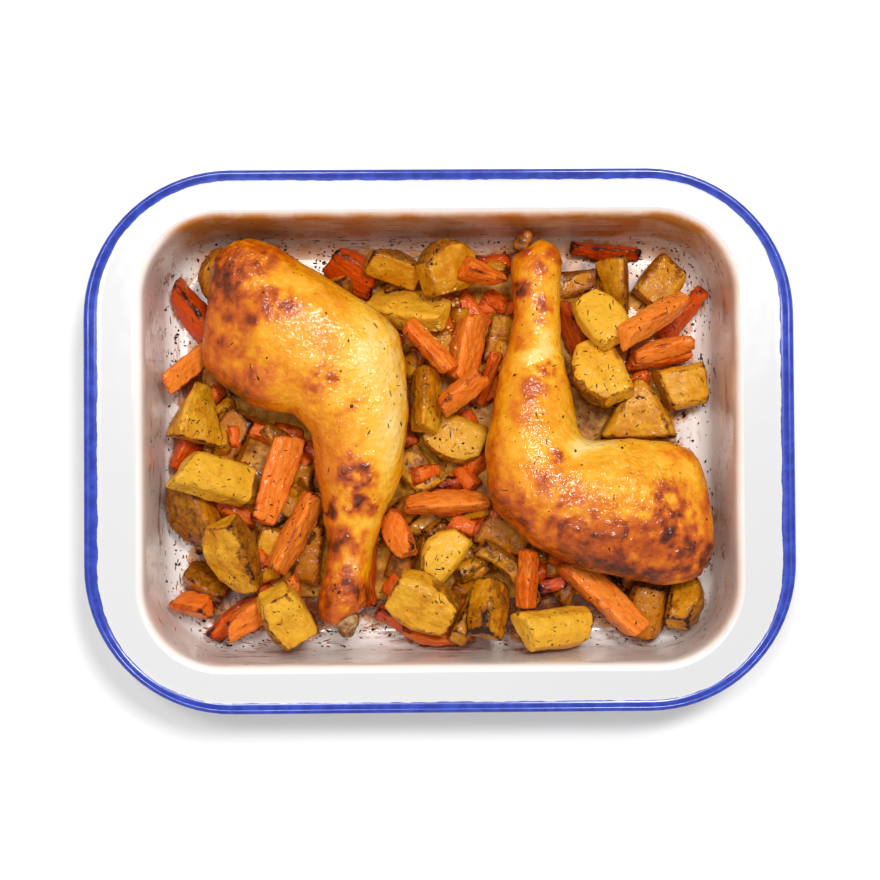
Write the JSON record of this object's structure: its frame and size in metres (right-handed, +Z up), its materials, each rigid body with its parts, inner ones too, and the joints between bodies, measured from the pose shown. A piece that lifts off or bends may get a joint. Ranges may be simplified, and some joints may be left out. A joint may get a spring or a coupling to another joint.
{
  "type": "roast chicken dinner",
  "caption": "Roast chicken leg quarters on a heap of potato wedges and carrot batons, in a deep enamelled roasting dish with rounded corners, a flat flange and a rolled rim.",
  "frame": {"origin": "the middle of the dish's underside", "axes": "+X along the dish's long side, +Y along its short side, +Z up out of the dish"},
  "size_m": [0.3698, 0.2828, 0.064],
  "materials": {
    "enamel": "glossy white enamel with a blue rim",
    "skin": "roast skin, oily",
    "bone": "roast gristle",
    "potato": "roast potato, oily",
    "carrot": "roast carrot, oily"
  },
  "bodies": {
    "root": {"dish": "enamel", "left_leg": "skin", "left_knuckle": "bone", "right_leg": "skin", "right_knuckle": "bone", "vegetable_heap": "potato", "carrot_01": "carrot", "potato_01": "potato", "potato_02": "potato", "potato_03": "potato", "potato_04": "potato", "carrot_02": "carrot", "carrot_03": "carrot", "carrot_04": "carrot", "potato_05": "potato", "potato_06": "potato", "carrot_05": "carrot", "potato_07": "potato", "potato_08": "potato", "carrot_06": "carrot", "potato_09": "potato", "carrot_07": "carrot", "carrot_08": "carrot", "carrot_09": "carrot", "potato_10": "potato", "carrot_10": "carrot", "potato_11": "potato", "potato_12": "potato", "potato_13": "potato", "carrot_11": "carrot", "potato_14": "potato", "potato_15": "potato", "carrot_12": "carrot", "carrot_13": "carrot", "carrot_14": "carrot", "carrot_15": "carrot", "carrot_16": "carrot", "carrot_17": "carrot", "potato_16": "potato", "carrot_18": "carrot", "carrot_19": "carrot", "carrot_20": "carrot", "potato_17": "potato", "potato_18": "potato", "potato_19": "potato", "potato_20": "potato", "carrot_21": "carrot", "potato_21": "potato", "potato_22": "potato", "potato_23": "potato", "carrot_22": "carrot", "carrot_23": "carrot", "potato_24": "potato", "potato_25": "potato", "potato_26": "potato", "carrot_24": "carrot", "carrot_25": "carrot", "carrot_26": "carrot", "carrot_27": "carrot"}
  },
  "joints": []
}
